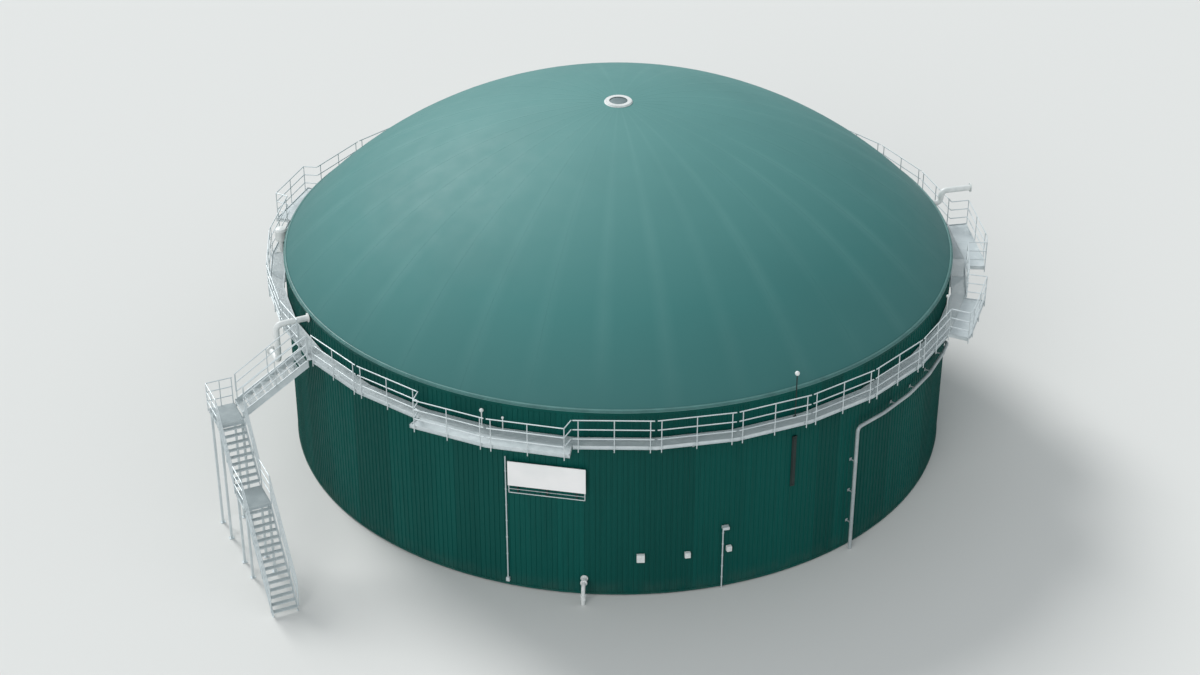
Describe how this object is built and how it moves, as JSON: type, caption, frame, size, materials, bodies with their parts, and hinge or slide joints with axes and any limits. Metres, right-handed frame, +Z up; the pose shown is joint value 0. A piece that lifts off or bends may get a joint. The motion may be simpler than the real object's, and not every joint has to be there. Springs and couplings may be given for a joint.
{
  "type": "biogas digester",
  "caption": "Round clad digester tank with a membrane dome, a railed ring gallery, wide decks and platforms, an access stair and wall-mounted pipes.",
  "frame": {"origin": "centre of the floor slab's underside, on the ground", "axes": "+Z up, -Y towards the side with the sign plate, +X to the right of it"},
  "size_m": [30.446, 29.281, 14.0487],
  "materials": {
    "concrete": "smooth cast concrete",
    "cladding_sheet": "dark green ribbed sheet, satin",
    "membrane": "grey-green coated membrane, softly shining",
    "clamp_ring": "green-grey clamp strip",
    "galvanised_steel": "hot-dip galvanised, dull",
    "white_paint": "white paint, satin",
    "sign_panel": "plain pale panel",
    "dark_fittings": "dark coating",
    "grey_pipe": "grey insulated pipe jacket"
  },
  "bodies": {
    "root": {"crown_plate": "galvanised_steel", "crown_ring": "white_paint", "deck_lamp_1": "white_paint", "deck_lamp_2": "white_paint", "deck_lamp_3": "white_paint", "drain_pipe": "white_paint", "floor_slab": "concrete", "front_wide_deck": "galvanised_steel", "front_wide_railing": "galvanised_steel", "gallery_deck_between": "galvanised_steel", "gallery_deck_front": "galvanised_steel", "gallery_deck_left": "galvanised_steel", "gallery_deck_rear": "galvanised_steel", "gallery_deck_right": "galvanised_steel", "gallery_railing_between": "galvanised_steel", "gallery_railing_front": "galvanised_steel", "gallery_railing_front_left": "galvanised_steel", "gallery_railing_left": "galvanised_steel", "gallery_railing_rear": "galvanised_steel", "gallery_railing_right": "galvanised_steel", "gas_pipe_left": "white_paint", "gas_pipe_right": "white_paint", "level_gauge": "dark_fittings", "level_sensor": "dark_fittings", "membrane_dome_lower": "membrane", "membrane_dome_upper": "membrane", "pressure_relief": "white_paint", "rear_wide_deck": "galvanised_steel", "rear_wide_railing": "galvanised_steel", "right_front_platform": "galvanised_steel", "right_front_platform_railing": "galvanised_steel", "right_rear_platform": "galvanised_steel", "right_rear_platform_railing": "galvanised_steel", "rim_clamp_ring": "clamp_ring", "service_pipe": "grey_pipe", "sign_frame": "dark_fittings", "sign_plate": "sign_panel", "stair_landing_railing": "galvanised_steel", "stair_lower_flight": "galvanised_steel", "stair_mid_landing": "galvanised_steel", "stair_middle_flight": "galvanised_steel", "stair_railing_left": "galvanised_steel", "stair_railing_right": "galvanised_steel", "stair_top_flight": "galvanised_steel", "stair_top_landing": "galvanised_steel", "switch_box_1": "white_paint", "switch_box_2": "white_paint", "switch_box_3": "white_paint", "tank_wall_1": "concrete", "tank_wall_2": "concrete", "tank_wall_3": "concrete", "tank_wall_4": "concrete", "top_flight_railing_left": "galvanised_steel", "top_flight_railing_right": "galvanised_steel", "wall_cladding_1": "cladding_sheet", "wall_cladding_2": "cladding_sheet", "wall_cladding_3": "cladding_sheet", "wall_cladding_4": "cladding_sheet", "wall_conduit_left": "galvanised_steel", "wall_conduit_right": "galvanised_steel"}
  },
  "joints": []
}
